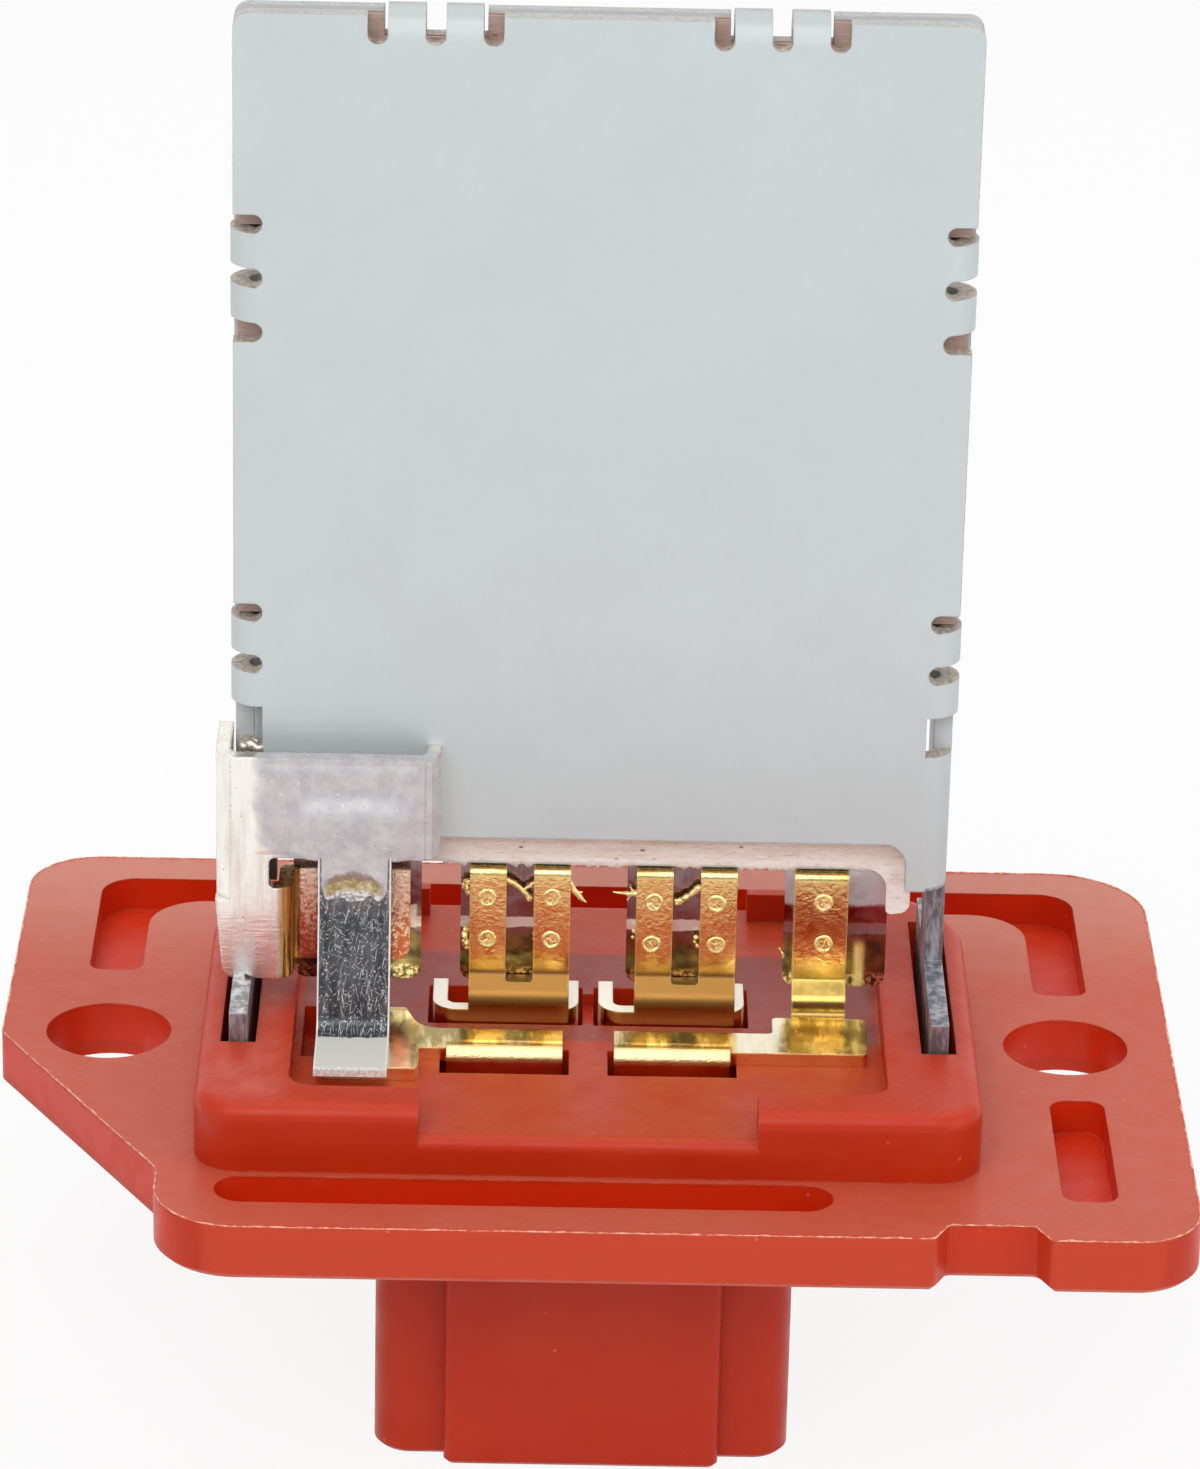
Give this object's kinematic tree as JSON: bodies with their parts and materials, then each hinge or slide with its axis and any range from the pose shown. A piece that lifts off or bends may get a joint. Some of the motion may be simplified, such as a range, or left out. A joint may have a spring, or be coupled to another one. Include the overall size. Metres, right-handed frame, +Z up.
{
  "type": "blower motor resistor",
  "caption": "Resistor card for a heater blower: crimped heat sink plates with a thermal fuse, standing on a moulded flange with a plug socket below.",
  "frame": {"origin": "midway between the two screw holes, on the flange face that seats against the heater housing", "axes": "+Z up through the housing opening to the heat sink, +X along the line of the screw holes, -Y to the keyed side of the connector"},
  "size_m": [0.0648, 0.0462, 0.0791],
  "materials": {
    "housing_plastic": "moulded thermoplastic, satin",
    "coated_sheet": "thin matt coating on sheet metal",
    "mica": "pressed mica sheet, satin",
    "resistance_foil": "bright rolled foil",
    "tinned_sheet": "matt tinned",
    "spring_strip": "rolled strip, scratched",
    "solder": "dull solder",
    "terminal_brass": "bright brass with cut edges"
  },
  "bodies": {
    "root": {"base_housing": "housing_plastic", "front_heat_plate": "coated_sheet", "rear_heat_plate": "coated_sheet", "front_insulator": "mica", "rear_insulator": "mica", "resistor_foil": "resistance_foil", "fuse_bracket": "tinned_sheet", "fuse_strip": "spring_strip", "fuse_solder": "solder", "rear_terminal_left": "terminal_brass", "rear_terminal_right": "terminal_brass", "front_terminal_left": "terminal_brass", "front_terminal_right": "terminal_brass"}
  },
  "joints": []
}
